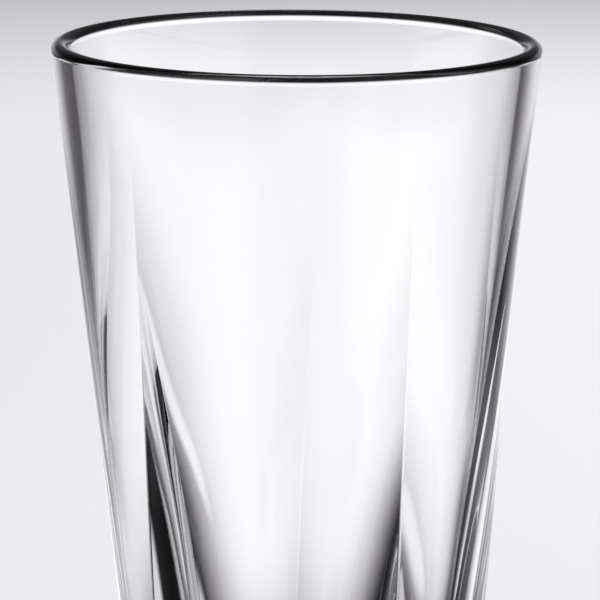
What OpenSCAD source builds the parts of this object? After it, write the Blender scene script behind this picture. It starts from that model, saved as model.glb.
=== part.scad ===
// Tall tapered drinking glass, pressed in one piece from clear soda-lime glass.
// The mouth is round. Below it the wall flattens little by little into five bowed panels with narrow rounded
// ridges between them, so that the foot is a soft pentagon. The inside is round all the way down.
// The one piece of glass is drawn as four zones that meet face to face on level planes.

/* [Overall] */
// Height of the glass
glass_h = 160; // [145:1:180]
// Outside diameter at the rim
rim_d = 88; // [80:0.5:98]

/* [Rim] */
// Thickness of the fire-polished lip
lip_t = 3.4; // [2.8:0.1:4]
// Height of the round zone that carries the lip
rim_h = 8.5; // [8:0.5:12]
// Wall thickness at the lower end of that zone
wall_t = 3.4; // [2.8:0.1:4]

/* [Panels and ridges] */
// Lean of the upper wall in degrees from upright
wall_lean = 6.6; // [6:0.1:7]
// Lean of the panels in degrees from upright
panel_lean = 7.2; // [6.6:0.1:7.6]
// Height at which the panels lean in
bend_z = 126; // [110:1:126]
// Length over which they do
bend_blend = 50; // [20:1:50]
// Height at which a panel is as flat as it gets
flat_z = 30; // [26:1:50]
// Flatness of a panel there, where 0 is as round as the mouth and 1 is flat
panel_flatness = 0.81; // [0.6:0.01:0.9]
// Height of the waist, below which the panels stand more upright
waist_z = 50; // [44:1:56]
// Length over which the panels turn at the waist
waist_blend = 20; // [10:1:24]
// Lean of the panels below the waist in degrees from upright
foot_lean = 3.3; // [2:0.1:5]
// Rounding of the ridges
ridge_round = 1.1; // [1:0.1:2]
// Number of panels
panel_count = 5; // [5:1:6]
// Turn of the first panel about the axis
panel_turn = -96.6; // [-126:0.1:-54]

/* [Inside] */
// Lean of the upper bore in degrees from upright
bore_lean = 6.7; // [6.4:0.1:7]
// Lean of the lower bore in degrees from upright
bore_low_lean = 8.7; // [8:0.1:10]
// Height at which the bore narrows faster
bore_bend_z = 87; // [80:1:94]
// Length over which it turns
bore_blend = 20; // [6:1:24]
// Thickness of the solid base at the axis
base_t = 17; // [10:0.5:26]
// Fillet between the floor and the wall inside
floor_fillet = 8; // [4:0.5:10]

/* [Underside] */
// Rounding of the lower outside edge
foot_edge = 0.9; // [0.5:0.1:0.9]
// Distance from that edge to the bearing ring, at the middle of a panel
ring_gap = 4.8; // [3:0.1:6]
// Width of the bearing ring
ring_w = 4; // [2:0.5:6]
// Height of the bearing ring under the base
ring_h = 0.8; // [0.4:0.1:1.5]
// Depth of the domed hollow inside the bearing ring
push_up = 1.6; // [0.9:0.1:3]

/* [Hidden] */
$fn = 96;
// Facets of the panelled surface: steps round each panel and its ridge, and the height of one ring
panel_steps = 18;
ring_step = 4;
edge_steps = 4;
blend_steps = 4;
lip_steps = 14;
// Length by which a cut runs past the face it opens
over = 1;

glass_tint = [0.86, 0.91, 0.91, 0.45];

rim_r = rim_d / 2;
rim_z = glass_h - rim_h;
lip_z = glass_h - lip_t / 2;
// The bend of the panels stays under the rim zone, however tall the glass
lean_z = min(bend_z, rim_z - bend_blend / 2);
// The panelled wall is drawn as two zones, which meet where the bent part of the panels ends
shoulder_z = lean_z - bend_blend / 2;
floor_z = base_t;
base_top = floor_z + floor_fillet;
sector = 360 / panel_count;

// A ramp that is 0 below -blend/2 and t above blend/2, with a parabola between
function ramp(t, blend) =
    t <= -blend / 2 ? 0 :
    t >= blend / 2 ? t :
    pow(t + blend / 2, 2) / (2 * blend);

// Outside radius of the round upper wall, carried on down
function cone_r(z) = rim_r - tan(wall_lean) * (lip_z - z);

// Radius to the middle of a panel
function panel_r(z) =
    cone_r(z)
        - (tan(panel_lean) - tan(wall_lean)) * ramp(lean_z - z, bend_blend)
        + (tan(panel_lean) - tan(foot_lean)) * ramp(waist_z - z, waist_blend);

// How flat the panels are: 0 at the rim zone, rising smoothly to panel_flatness
function flatness(z) =
    let (down = max(0, min(1, (rim_z - z) / (rim_z - flat_z))))
    panel_flatness * down * down * (3 - 2 * down);

// Radius of the inside
function bore_r(z) =
    cone_r(rim_z) - wall_t
        - tan(bore_lean) * (rim_z - z)
        - (tan(bore_low_lean) - tan(bore_lean)) * ramp(bore_bend_z - z, bore_blend);

// One level section of the outside, drawn in by inset: a wide bow on each panel and a small arc on each ridge.
// The centre of a bow lies beyond the axis by the distance bow, and that of an arc under its ridge at reach.
function section(z, inset = 0) =
    let (
        half = sector / 2,
        bow_r = panel_r(z) / (1 - flatness(z)),
        bow = bow_r - panel_r(z),
        reach = sqrt(pow(bow_r - ridge_round, 2) - pow(bow * sin(half), 2)) - bow * cos(half),
        edge = atan2(reach * sin(half), reach * cos(half) + bow)
    )
    [for (i = [0 : panel_count - 1], j = [0 : panel_steps - 1])
        let (
            axis = panel_turn + i * sector,
            off = ((j + 0.5) / panel_steps - 0.5) * sector,
            on_bow = abs(off) <= edge,
            ridge = axis + sign(off) * half,
            centre = on_bow ? -bow * [cos(axis), sin(axis)] : reach * [cos(ridge), sin(ridge)],
            radius = (on_bow ? bow_r : ridge_round) - inset
        )
        [centre.x + radius * cos(axis + off), centre.y + radius * sin(axis + off), z]];

// Heights from low to high in even steps of about ring_step
function heights(low, high) =
    let (n = ceil((high - low) / ring_step))
    [for (i = [0 : n]) low + (high - low) * i / n];

// Points of the bore from low to high: its two straight lengths and the turn between them
function bore_line(low, high) =
    let (
        turn = [for (i = [0 : blend_steps]) bore_bend_z + bore_blend * (i / blend_steps - 0.5)],
        zs = concat(low, [for (z = turn) if (z > low && z < high) z], high)
    )
    [for (z = zs) [bore_r(z), z]];

// A closed skin over a list of sections
module loft(rings) {
    n = len(rings[0]);
    last = len(rings) - 1;
    sides = [for (k = [0 : last - 1], i = [0 : n - 1])
        let (a = k * n + i, b = k * n + (i + 1) % n)
        each [[a, a + n, b], [b, a + n, b + n]]];
    bottom = [for (i = [1 : n - 2]) [0, i, i + 1]];
    top = [for (i = [1 : n - 2]) [last * n, last * n + i + 1, last * n + i]];
    polyhedron([for (ring = rings) each ring], concat(sides, bottom, top));
}

// The round hollow between two heights, run past both ends
module bore(low, high) {
    rotate_extrude()
        polygon(concat(
            [[0, low - over], [bore_r(low), low - over]],
            bore_line(low, high),
            [[bore_r(high), high + over], [0, high + over]]));
}

// A length of wall: panels and ridges outside, round inside
module wall(low, high) {
    color(glass_tint)
        difference() {
            loft([for (z = heights(low, high)) section(z)]);
            bore(low, high);
        }
}

// The dished floor: the bore closed by a fillet that is tangent to the wall and to the floor
module dish() {
    slope = tan(bore_low_lean);
    centre_r = bore_r(base_top) - floor_fillet * sqrt(1 + slope * slope);
    touch_z = base_top - floor_fillet * slope / sqrt(1 + slope * slope);
    rotate_extrude() {
        translate([centre_r, base_top])
            intersection() {
                circle(floor_fillet);
                translate([0, -floor_fillet])
                    square(floor_fillet);
            }
        translate([0, floor_z])
            square([centre_r, floor_fillet]);
        polygon([
            [0, base_top - over],
            [centre_r, touch_z],
            [bore_r(touch_z), touch_z],
            [bore_r(base_top), base_top],
            [bore_r(base_top), base_top + over],
            [0, base_top + over]]);
    }
}

// Direction from a circle's centre to where a line from p touches it, on p's left (side 1) or right (side -1)
function touch_turn(p, centre, radius, side) =
    let (v = p - centre)
    atan2(v.y, v.x) + side * acos(radius / norm(v));

// Round zone with the fire-polished lip: a full round that both faces of the wall run into
module rim() {
    lip = [rim_r - lip_t / 2, lip_z];
    inner = [bore_r(rim_z), rim_z];
    outer = [cone_r(rim_z), rim_z];
    start = touch_turn(outer, lip, lip_t / 2, 1);
    end = 360 + touch_turn(inner, lip, lip_t / 2, -1);
    arc = [for (i = [0 : lip_steps])
        let (turn = start + (end - start) * i / lip_steps)
        lip + lip_t / 2 * [cos(turn), sin(turn)]];
    color(glass_tint)
        rotate_extrude()
            polygon(concat([inner, outer], arc));
}

// Wall in which the panels fade into the round
module upper_wall() {
    wall(shoulder_z, rim_z);
}

// Wall with the full panels and ridges
module panel_wall() {
    wall(base_top, shoulder_z);
}

// Solid bottom with its dished floor, rounded lower edge, bearing ring and push-up
module base() {
    ring_r = panel_r(ring_h) - foot_edge - ring_gap;
    dome_r = ring_r - ring_w;
    sphere_r = (dome_r * dome_r + push_up * push_up) / (2 * push_up);
    edge = [for (i = [0 : edge_steps - 1])
        let (turn = 90 * i / edge_steps)
        section(ring_h + foot_edge * (1 - cos(turn)), foot_edge * (1 - sin(turn)))];
    body = [for (z = heights(ring_h + foot_edge, base_top)) section(z)];
    color(glass_tint)
        difference() {
            union() {
                loft(concat(edge, body));
                cylinder(h = ring_h + foot_edge, r = ring_r);
            }
            dish();
            translate([0, 0, push_up - sphere_r])
                sphere(sphere_r);
        }
}

rim();
upper_wall();
panel_wall();
base();
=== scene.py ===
import math

import bmesh
import bpy
from mathutils import Matrix, Vector


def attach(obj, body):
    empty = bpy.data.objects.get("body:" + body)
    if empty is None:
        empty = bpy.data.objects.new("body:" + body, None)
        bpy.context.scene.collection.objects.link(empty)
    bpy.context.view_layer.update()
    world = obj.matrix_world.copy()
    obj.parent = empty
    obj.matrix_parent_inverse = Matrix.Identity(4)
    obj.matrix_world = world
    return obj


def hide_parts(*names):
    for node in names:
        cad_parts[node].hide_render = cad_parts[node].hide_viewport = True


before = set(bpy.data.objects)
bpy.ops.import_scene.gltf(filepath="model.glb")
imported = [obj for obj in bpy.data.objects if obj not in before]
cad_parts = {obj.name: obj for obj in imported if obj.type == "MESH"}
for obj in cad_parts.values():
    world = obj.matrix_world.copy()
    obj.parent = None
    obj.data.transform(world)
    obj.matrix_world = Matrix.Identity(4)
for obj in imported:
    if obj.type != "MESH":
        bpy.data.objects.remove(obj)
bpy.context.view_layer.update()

# The cooler glass is one piece of clear soda-lime glass, pressed in a five-sided mould round a plunger.
# Its mouth is round and fire-polished. Below it the wall flattens little by little into five bowed panels
# with narrow ridges between them. Under the heavy base a ring, dulled by use, bears on the table.
mm = 0.001
glass_h = 160 * mm
rim_r = 44 * mm
rim_z = 151.5 * mm
lip_t = 3.4 * mm
lip_z = glass_h - lip_t / 2
wall_t = 3.4 * mm
wall_taper = math.tan(math.radians(6.6))
panel_taper = math.tan(math.radians(7.2))
bend_z = 126 * mm
bend_blend = 50 * mm
flat_z = 30 * mm
panel_flatness = 0.81
waist_z = 50 * mm
waist_blend = 20 * mm
foot_taper = math.tan(math.radians(3.3))
ridge_round = 1.1 * mm
panels = 5
panel_half = math.pi / panels
front_panel = math.radians(-96.6)
bore_taper = math.tan(math.radians(6.7))
bore_low_lean = math.radians(8.7)
bore_bend_z = 87 * mm
bore_blend = 20 * mm
floor_z = 17 * mm
floor_fillet = 8 * mm
base_top = floor_z + floor_fillet
foot_edge = 0.9 * mm
ring_gap = 4.8 * mm
ring_w = 4 * mm
ring_h = 0.8 * mm
push_up = 1.6 * mm


def ramp(t, blend):
    """0 below -blend/2 and t above blend/2, with a parabola between."""
    if t <= -blend / 2:
        return 0.0
    if t >= blend / 2:
        return t
    return (t + blend / 2) ** 2 / (2 * blend)


def cone_r(z):
    """Outside radius of the round upper wall, carried on down."""
    return rim_r - wall_taper * (lip_z - z)


def panel_r(z):
    """Radius to the middle of a panel."""
    bend = (panel_taper - wall_taper) * ramp(bend_z - z, bend_blend)
    waist = (panel_taper - foot_taper) * ramp(waist_z - z, waist_blend)
    return cone_r(z) - bend + waist


def flatness(z):
    """0 where the wall is still round, near 1 where its panels are all but flat."""
    down = min(max((rim_z - z) / (rim_z - flat_z), 0), 1)
    return panel_flatness * down ** 2 * (3 - 2 * down)


def bore_r(z):
    """Radius of the bore, which is round all the way down and leans in more below its bend."""
    bend = (math.tan(bore_low_lean) - bore_taper) * ramp(bore_bend_z - z, bore_blend)
    return cone_r(rim_z) - wall_t - bore_taper * (rim_z - z) - bend


# At least this share of the mesh's columns lies on the panels, and the rest on the ridges between them.
least_panel_share = 0.55


def outside(z, turn, inset):
    """Point of the outside at height z, drawn in by inset: on a bowed panel or on the round of a ridge."""
    off = (turn - front_panel + panel_half) % (2 * panel_half) - panel_half
    bow_r = panel_r(z) / (1 - flatness(z))
    bow = bow_r - panel_r(z)
    lift = bow * math.sin(panel_half)
    reach = math.sqrt((bow_r - ridge_round) ** 2 - lift ** 2) - bow * math.cos(panel_half)
    ridge_x = reach * math.cos(panel_half)
    ridge_y = reach * math.sin(panel_half)
    edge = math.atan2(ridge_y, ridge_x + bow)
    share = max(edge, least_panel_share * panel_half)
    if abs(off) <= share:
        normal = abs(off) / share * edge
        centre = Vector((-bow, 0, z))
        radius = bow_r - inset
    else:
        normal = edge + (abs(off) - share) / (panel_half - share) * (panel_half - edge)
        centre = Vector((ridge_x, math.copysign(ridge_y, off), z))
        radius = ridge_round - inset
    swing = math.copysign(normal, off)
    point = centre + radius * Vector((math.cos(swing), math.sin(swing), 0))
    return Matrix.Rotation(turn - off, 3, "Z") @ point


# The half section runs from the middle of the underside up the wall, over the lip and down to the middle
# of the floor. Four of its corners are rounded. The stays, two points just below the lip's round, keep
# the shading of the straight wall from bending there.
spin_steps = 360
round_steps = 12
wall_step = 1.1 * mm
ring_step = 2.4 * mm
merge_gap = 0.001 * mm
stay_gap = 0.25 * mm
stay_z = lip_z - stay_gap
foot_r = cone_r(ring_h)
ring_r = panel_r(ring_h) - foot_edge - ring_gap
dome_r = ring_r - ring_w
corners = {
    "underside_middle": (0, 0),
    "dome_edge": (dome_r, 0),
    "ring_edge": (ring_r, 0),
    "ring_root": (ring_r, ring_h),
    "foot": (foot_r, ring_h),
    "wall_top": (cone_r(rim_z), rim_z),
    "outer_stay": (cone_r(stay_z), stay_z),
    "outer_lip": (cone_r(glass_h), glass_h),
    "inner_lip": (bore_r(glass_h), glass_h),
    "inner_stay": (bore_r(stay_z), stay_z),
    "bore_top": (bore_r(rim_z), rim_z),
    "bore_foot": (bore_r(base_top), base_top),
    "floor_corner": (bore_r(floor_z), floor_z),
    "floor_middle": (0, floor_z),
}
lip_setback = (cone_r(glass_h) - bore_r(glass_h)) / 2
setbacks = {
    "foot": foot_edge,
    "outer_lip": lip_setback,
    "inner_lip": lip_setback,
    "floor_corner": floor_fillet * math.tan(math.pi / 4 - bore_low_lean / 2),
}
body = bmesh.new()
points = {name: body.verts.new((r, 0, z)) for name, (r, z) in corners.items()}
line = list(points.values())
for start, end in zip(line, line[1:]):
    body.edges.new((start, end))
for name, setback in setbacks.items():
    bmesh.ops.bevel(body, geom=[points[name]], affect="VERTICES", offset=setback, segments=round_steps,
                    profile=0.5, material=-1)
for edge in list(body.edges):
    on_wall = all(vert.co.x > cone_r(vert.co.z) - foot_edge for vert in edge.verts)
    cuts = math.ceil(edge.calc_length() / (wall_step if on_wall else ring_step)) - 1
    if cuts > 0:
        bmesh.ops.subdivide_edges(body, edges=[edge], cuts=cuts)
bmesh.ops.spin(body, geom=body.verts[:] + body.edges[:], axis=(0, 0, 1), cent=(0, 0, 0),
               angle=2 * math.pi, steps=spin_steps, use_merge=True)
bmesh.ops.remove_doubles(body, verts=body.verts, dist=merge_gap)

# The spun body is pressed to shape: its bore to the plunger, its outside to the panels of the mould, and
# the middle of its underside to a shallow dome.
dome_sphere_r = (dome_r ** 2 + push_up ** 2) / (2 * push_up)
for vert in body.verts:
    z = vert.co.z
    r = vert.co.xy.length
    turn = math.atan2(vert.co.y, vert.co.x)
    depth = cone_r(z) - r
    if base_top < z < rim_z and depth > lip_t / 2:
        vert.co.xy = vert.co.xy * (bore_r(z) / r)
    elif z < rim_z and depth <= foot_edge:
        vert.co = outside(z, turn, max(depth, 0))
    elif z <= ring_h and r > ring_r:
        ring_point = Vector((ring_r * math.cos(turn), ring_r * math.sin(turn), z))
        foot_point = outside(z, turn, foot_edge)
        vert.co = ring_point.lerp(foot_point, (r - ring_r) / (foot_r - foot_edge - ring_r))
    elif z <= ring_h and r < dome_r:
        vert.co.z = push_up - dome_sphere_r + math.sqrt(dome_sphere_r ** 2 - r ** 2)
bmesh.ops.recalc_face_normals(body, faces=body.faces)
for face in body.faces:
    face.smooth = True
glass_mesh = bpy.data.meshes.new("cooler_glass")
body.to_mesh(glass_mesh)
body.free()
glass = bpy.data.objects.new("cooler_glass", glass_mesh)
bpy.context.scene.collection.objects.link(glass)


class Wire:
    """A shader socket that Python's operators work on: an expression adds its Math nodes to the tree."""

    def __init__(self, tree, socket=None):
        self.tree = tree
        self.socket = socket

    def add(self, kind, settings=None, out=0, **inputs):
        """Adds a node: its settings first, then its sockets by name, or by number as i0, i1 and on."""
        node = self.tree.nodes.new(kind)
        for name, value in (settings or {}).items():
            setattr(node, name, value)
        for name, value in inputs.items():
            key = int(name[1:]) if name[1:].isdigit() else name.replace("_", " ")
            if isinstance(value, Wire):
                self.tree.links.new(value.socket, node.inputs[key])
            else:
                node.inputs[key].default_value = value
        return Wire(self.tree, node.outputs[out]) if node.outputs else None

    def math(self, operation, *values):
        """Adds a Math node for what has no operator of its own."""
        numbered = {f"i{number}": value for number, value in enumerate(values)}
        return self.add("ShaderNodeMath", {"operation": operation}, **numbered)

    def __add__(self, other):
        return self.math("ADD", self, other)

    def __radd__(self, other):
        return self.math("ADD", other, self)

    def __sub__(self, other):
        return self.math("SUBTRACT", self, other)

    def __rsub__(self, other):
        return self.math("SUBTRACT", other, self)

    def __mul__(self, other):
        return self.math("MULTIPLY", self, other)

    def __rmul__(self, other):
        return self.math("MULTIPLY", other, self)

    def __truediv__(self, other):
        return self.math("DIVIDE", self, other)

    def eased(self, low, high):
        """0 up to low and 1 from high on, eased at both ends."""
        return self.add("ShaderNodeMapRange", {"interpolation_type": "SMOOTHSTEP"}, Value=self,
                        From_Min=low, From_Max=high)

    def tone(self, first, second, clamp=True):
        """The colour that runs from first at 0 to second at 1, and on past it where clamp is off."""
        return self.add("ShaderNodeMix", {"data_type": "RGBA", "clamp_factor": clamp}, out=2,
                        i0=self, i6=first, i7=second)


# Clear glass: all but colourless, with ripples drawn along the mould and a bearing ring scuffed dull.
faint_green = (0.985, 0.991, 0.99, 1)
fainter_green = (0.994, 0.997, 0.996, 1)
scuffed_z = 0.1 * mm
polished_z = 0.6 * mm
least_dull = 0.1
scuff_dull = 0.4
ripple_depth = 0.02 * mm
clear_glass = bpy.data.materials.new("clear_glass")
clear_glass.use_nodes = True
clear_glass.node_tree.nodes.clear()
tree = Wire(clear_glass.node_tree)
place = tree.add("ShaderNodeTexCoord", out=3)
height = tree.add("ShaderNodeSeparateXYZ", out=2, Vector=place)
stretched = tree.add("ShaderNodeMapping", Vector=place, Scale=(1.0, 1.0, 0.12))
ripple = tree.add("ShaderNodeTexNoise", Vector=stretched, Scale=90.0, Detail=1.0)
cloud = tree.add("ShaderNodeTexNoise", Vector=place, Scale=30.0, Detail=2.0)
scuffs = tree.add("ShaderNodeTexNoise", Vector=place, Scale=900.0, Detail=3.0)
worn = (1 - height.eased(scuffed_z, polished_z)) * (least_dull + scuff_dull * scuffs)
tint = cloud.tone(faint_green, fainter_green)
relief = tree.add("ShaderNodeBump", Strength=0.05, Distance=ripple_depth, Height=ripple)
polish = tree.add("ShaderNodeBsdfPrincipled", Base_Color=tint, Roughness=worn, Normal=relief,
                  IOR=1.52, Transmission_Weight=1.0)
tree.add("ShaderNodeOutputMaterial", Surface=polish)
glass_mesh.materials.append(clear_glass)
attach(glass, "root")
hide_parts("rim", "upper_wall", "panel_wall", "base")

# The studio floor is a wide disc, pale and matt. Close to the glass it is lit and takes its shadow. Further
# out the camera sees a painted tone instead: painted light makes it a little lighter on the right, where
# the lamp hangs, and painted shade darkens it in the distance. Rays from the glass see only the spot of
# floor it stands on and look past the rest, into the air of the studio.
black = (0, 0, 0, 1)
pale = (0.80, 0.79, 0.815, 1)
# The glow's tone near the glass, and the painted shade it darkens to far out.
near_tone = (0.845, 0.835, 0.86, 1)
far_tone = (0.23, 0.225, 0.245, 1)
floor_r = 6.0
floor_sides = 96
spot_r = 0.05
spot_end_r = 0.09
lit_r = 0.15
toned_r = 0.6
dusk_r = 0.85
dark_r = 1.75
deepest_dusk = 0.52
# Painted light: where and how much the glow's tone lightens from left to right, and how far out it evens.
left_x = -0.1
right_x = 0.12
left_change = -0.025
left_to_right = 0.095
even_r = 1.3
all_even_r = 2.0


def ray_kinds():
    """1 on rays straight from the camera, and 1 on rays that come by way of the glass."""
    camera_ray = tree.add("ShaderNodeLightPath", out=0)
    glossy_ray = tree.add("ShaderNodeLightPath", out=3)
    through_ray = tree.add("ShaderNodeLightPath", out=6)
    return camera_ray, tree.math("MAXIMUM", glossy_ray, through_ray)


disc = bmesh.new()
bmesh.ops.create_circle(disc, cap_ends=True, segments=floor_sides, radius=floor_r)
floor_mesh = bpy.data.meshes.new("studio_floor")
disc.to_mesh(floor_mesh)
disc.free()
studio_floor = bpy.data.objects.new("studio_floor", floor_mesh)
bpy.context.scene.collection.objects.link(studio_floor)
matt = bpy.data.materials.new("matt_floor")
matt.use_nodes = True
matt.node_tree.nodes.clear()
tree = Wire(matt.node_tree)
camera_ray, in_glass = ray_kinds()
place = tree.add("ShaderNodeTexCoord", out=3)
across = tree.add("ShaderNodeSeparateXYZ", Vector=place)
away = tree.add("ShaderNodeVectorMath", {"operation": "LENGTH"}, out=1, i0=place)
# Painted shade: far out, the glow's tone darkens towards far_tone.
painted_dusk = tree.math("MINIMUM", away.eased(dusk_r, dark_r), deepest_dusk)
# Painted light: the glow's tone is a little lighter on the right, where the lamp hangs.
change = left_to_right * across.eased(left_x, right_x) + left_change
painted_side_light = 1 + change * (1 - away.eased(even_r, all_even_r))
painted_glow_tone = painted_side_light.tone(black, painted_dusk.tone(near_tone, far_tone), clamp=False)
glow = tree.add("ShaderNodeEmission", Color=painted_glow_tone, Strength=1.0)
lit = tree.add("ShaderNodeBsdfDiffuse", Color=pale)
clear = tree.add("ShaderNodeBsdfTransparent")
seen = tree.add("ShaderNodeMixShader", i0=away.eased(lit_r, toned_r) * camera_ray, i1=lit, i2=glow)
passed = away.eased(spot_r, spot_end_r) * in_glass
open_floor = tree.add("ShaderNodeMixShader", i0=passed, i1=seen, i2=clear)
tree.add("ShaderNodeOutputMaterial", Surface=open_floor)
floor_mesh.materials.append(matt)

# The studio's air lights the floor evenly and is a plain grey behind the glass. Rays from the glass find
# soft fields of light in it instead, bright behind the glass and dark at its sides, which draws its edges.
# Their places are in degrees: bearing from +Y, which is behind the glass, towards +X, and tilt above level.
air_tone = (0.525, 0.518, 0.54, 1)
air_level = 0.8
dark_cast = (0.98, 0.915, 1.0, 1)
light_cast = (1, 0.99, 1.02, 1)
studio = bpy.data.worlds.new("studio")
bpy.context.scene.world = studio
studio.use_nodes = True
studio.node_tree.nodes.clear()
tree = Wire(studio.node_tree)
camera_ray, in_glass = ray_kinds()
heading = tree.add("ShaderNodeTexCoord", out=0)
east = tree.add("ShaderNodeSeparateXYZ", out=0, Vector=heading)
north = tree.add("ShaderNodeSeparateXYZ", out=1, Vector=heading)
rise = tree.add("ShaderNodeSeparateXYZ", out=2, Vector=heading)
bearing = tree.math("ARCTAN2", east, north) * math.degrees(1)
tilt = tree.math("ARCSINE", rise) * math.degrees(1)
flat_heading = tree.add("ShaderNodeVectorMath", {"operation": "MULTIPLY"}, i0=heading, i1=(1, 1, 0))
compass = tree.add("ShaderNodeVectorMath", {"operation": "NORMALIZE"}, i0=flat_heading)


def field(middle, clear_half, dark_half):
    """A field that is 1 round one bearing and fades out between two half widths."""
    toward = (math.sin(math.radians(middle)), math.cos(math.radians(middle)), 0)
    facing = tree.add("ShaderNodeVectorMath", {"operation": "DOT_PRODUCT"}, out=1, i0=compass, i1=toward)
    turned = tree.math("ARCCOSINE", facing)
    return 1 - turned.eased(math.radians(clear_half), math.radians(dark_half))


def band(dark_low, clear_low, clear_high, dark_high):
    """1 between two tilts, fading out below and above them."""
    return tilt.eased(dark_low, clear_low) - tilt.eased(clear_high, dark_high)


def brightest(first, *others):
    """The brightest of several fields."""
    for other in others:
        first = tree.math("MAXIMUM", first, other)
    return first


# The main field stands behind the glass. Its half widths are least where the upper wall looks and grow
# below that and towards the level. It fades out towards the table, and is dimmer above and at the right.
main_level = 1.1
main_bearing = 2.8
main_low = -15.3
main_fall = 7.2
main_core = 0.12
main_upper_core = 0.32
main_edge = 1.33
right_low_half = 55
right_upper_half = 30
right_level_half = 38
left_low_half = 42
left_upper_half = 26
left_level_half = 38
first_dim = 0.14
second_dim = 0.25
roof_dim = 0.5
right_dim = 0.16
right_upper = tilt.eased(-18, -15)
upper = tilt.eased(-16, -12.5)
level = tilt.eased(-7.5, -4.5)
roof = tilt.eased(2, 11)
right_half = right_low_half + (right_upper_half - right_low_half) * right_upper
right_half = right_half + (right_level_half - right_upper_half) * level
left_half = left_low_half + (left_upper_half - left_low_half) * upper
left_half = left_half + (left_level_half - left_upper_half) * level
aside = tree.math("MAXIMUM", (bearing - main_bearing) / right_half, (main_bearing - bearing) / left_half)
under = tree.math("MAXIMUM", (main_low - tilt) / main_fall, 0)
spread = tree.math("SQRT", aside * aside + under * under)
core = main_core + (main_upper_core - main_core) * upper
dimmed = first_dim * tilt.eased(-10, -8.4) + second_dim * tilt.eased(-8.6, -7.2) + roof_dim * roof
right_dimmed = right_dim * bearing.eased(2, 13) * upper
main_field = main_level * (1 - spread.eased(core, main_edge)) * (1 - dimmed) * (1 - right_dimmed)

# A short strip lightens the left panel, and a dim field runs round the sides, brighter at the right.
strip_level = 1.05
least_side = 0.03
rear_side = 0.07
right_side = 0.5
roof_dark = 0.8
strip = strip_level * field(-24, 3, 14) * band(-18.9, -17.3, -16.8, -14.8)
below_roof = 1 - roof_dark * roof
side_field = least_side + rear_side * field(0, 100, 140) + right_side * field(92, 25, 38)
side_field = side_field * tilt.eased(-21.8, -19.6) * below_roof

# More fields stand behind the glass for someone who looks at it from its right, from the back or from
# higher up, and one lies straight below it.
far_level = 0.75
table_level = 0.7
west_low = field(-90, 4, 18) * tilt.eased(-12.5, -5.5)
west_high = field(-90, 16, 34) * tilt.eased(-6, -3.5)
back_field = field(135, 10, 30) * tilt.eased(-30, -24)
far_fields = far_level * brightest(west_low, west_high, back_field) * below_roof
low_field = far_level * field(-45, 10, 18) * band(-40, -36, -22.8, -21.5)
table_field = table_level * (1 - tilt.eased(-75, -64))

# The air as rays from the glass see it, with a slight violet cast where it is dark, and as all others do.
least_light = 0.009
surround = least_light + brightest(main_field, strip, side_field, far_fields, low_field, table_field)
glass_tone = surround.tone(black, surround.tone(dark_cast, light_cast), clamp=False)
glass_air = tree.add("ShaderNodeBackground", Color=glass_tone, Strength=1.0)
air = tree.add("ShaderNodeBackground", Color=(1, 1, 1, 1), Strength=air_level)
seen_air = tree.add("ShaderNodeBackground", Color=air_tone, Strength=1.0)
open_air = tree.add("ShaderNodeMixShader", i0=camera_ray, i1=air, i2=seen_air)
all_air = tree.add("ShaderNodeMixShader", i0=in_glass, i1=open_air, i2=glass_air)
tree.add("ShaderNodeOutputWorld", Surface=all_air)

# A soft square lamp hangs high at the right, a little behind the glass, and gives it a faint shadow.
# The glass doesn't mirror it, so no square glint shows in the wall.
lamp_data = bpy.data.lights.new("soft_lamp", "AREA")
lamp_data.size = 0.6
lamp_data.energy = 4.8
soft_lamp = bpy.data.objects.new("soft_lamp", lamp_data)
soft_lamp.location = (0.5, 0.3, 1.1)
soft_lamp.rotation_mode = "QUATERNION"
soft_lamp.rotation_quaternion = soft_lamp.location.to_track_quat("Z", "Y")
soft_lamp.visible_glossy = False
soft_lamp.visible_transmission = False
bpy.context.scene.collection.objects.link(soft_lamp)

# The camera stands 0.8 m from the middle of the lip, eight degrees above it. The picture takes in the upper
# three fifths of the glass, with the lip near its top edge.
image_px = 600
lip_px = Vector((295.4, 50.0))
lip_half_px = 245.1
camera_distance = 0.8
camera_rise = math.radians(8.03)
camera_roll = math.radians(0.3)
camera_data = bpy.data.cameras.new("camera")
camera = bpy.data.objects.new("camera", camera_data)
bpy.context.scene.collection.objects.link(camera)
bpy.context.scene.camera = camera
focal_px = lip_half_px * camera_distance / rim_r
camera_data.sensor_width = 36
camera_data.lens = camera_data.sensor_width * focal_px / image_px
camera_data.clip_start = 0.01
lip_middle = Vector((0, 0, lip_z))
sight = Vector((0, -math.cos(camera_rise), math.sin(camera_rise)))
camera.location = lip_middle + camera_distance * sight
swing = math.atan((image_px / 2 - lip_px.x) / focal_px)
drop = math.atan((image_px / 2 - lip_px.y) / focal_px)
camera.rotation_mode = "QUATERNION"
camera.rotation_quaternion = (
    Matrix.Rotation(-swing, 3, "Z") @ Matrix.Rotation(math.pi / 2 - camera_rise - drop, 3, "X")
    @ Matrix.Rotation(camera_roll, 3, "Z")).to_quaternion()

bpy.context.scene.view_settings.view_transform = "Standard"
